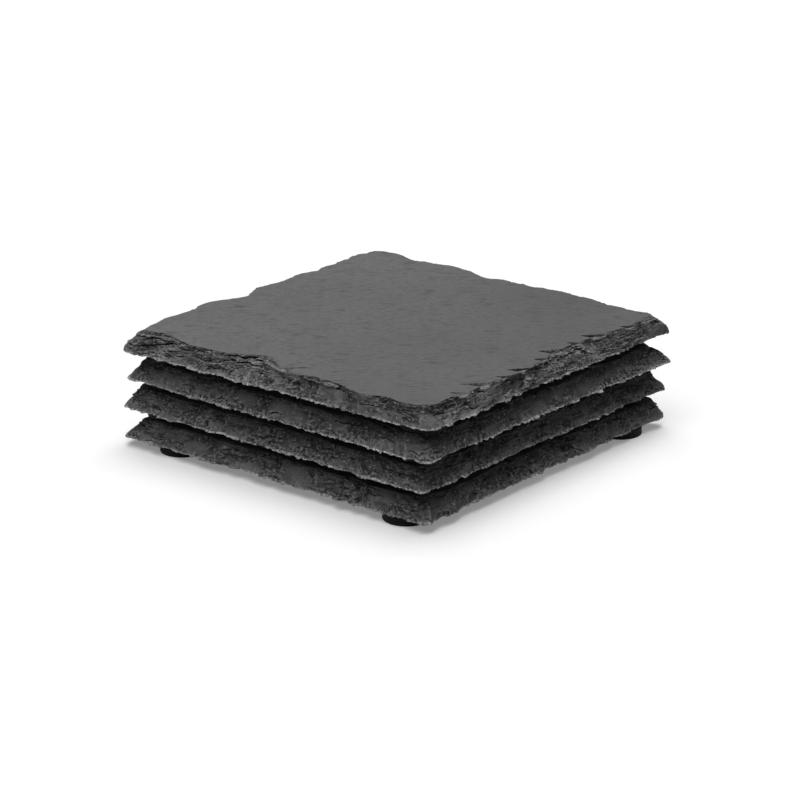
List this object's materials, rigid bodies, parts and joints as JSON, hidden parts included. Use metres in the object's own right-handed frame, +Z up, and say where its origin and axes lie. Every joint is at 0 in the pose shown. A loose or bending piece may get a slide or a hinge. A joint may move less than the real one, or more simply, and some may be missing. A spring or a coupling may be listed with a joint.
{
  "type": "slate drink coaster stack",
  "caption": "Square natural slate drink coasters with chipped bevelled edges, stacked on small round black rubber feet.",
  "frame": {"origin": "on the table, under the middle of the stack", "axes": "+Z up through the stack, +X and +Y along the slates' sides, the front side faces -Y"},
  "size_m": [0.1013, 0.1009, 0.03],
  "materials": {
    "slate": "split natural slate, matt and finely grained, with darker rough chipped edges",
    "rubber": "matt black soft rubber",
    "film": "thin pale double-sided adhesive film"
  },
  "bodies": {
    "bottom_coaster": {"bottom_slate": "slate", "bottom_foot_1": "rubber", "bottom_foot_2": "rubber", "bottom_foot_3": "rubber", "bottom_foot_4": "rubber", "bottom_film_1": "film", "bottom_film_2": "film", "bottom_film_3": "film", "bottom_film_4": "film"},
    "second_coaster": {"second_slate": "slate", "second_foot_1": "rubber", "second_foot_2": "rubber", "second_foot_3": "rubber", "second_foot_4": "rubber", "second_film_1": "film", "second_film_2": "film", "second_film_3": "film", "second_film_4": "film"},
    "third_coaster": {"third_slate": "slate", "third_foot_1": "rubber", "third_foot_2": "rubber", "third_foot_3": "rubber", "third_foot_4": "rubber", "third_film_1": "film", "third_film_2": "film", "third_film_3": "film", "third_film_4": "film"},
    "top_coaster": {"top_slate": "slate", "top_foot_1": "rubber", "top_foot_2": "rubber", "top_foot_3": "rubber", "top_foot_4": "rubber", "top_film_1": "film", "top_film_2": "film", "top_film_3": "film", "top_film_4": "film"}
  },
  "joints": [
    {"name": "second_lift", "type": "slide", "parent": "bottom_coaster", "child": "second_coaster", "axis": [0, 0, 1], "range_m": [0, 0.05]},
    {"name": "third_lift", "type": "slide", "parent": "second_coaster", "child": "third_coaster", "axis": [0, 0, 1], "range_m": [0, 0.05]},
    {"name": "top_lift", "type": "slide", "parent": "third_coaster", "child": "top_coaster", "axis": [0, 0, 1], "range_m": [0, 0.05]}
  ]
}
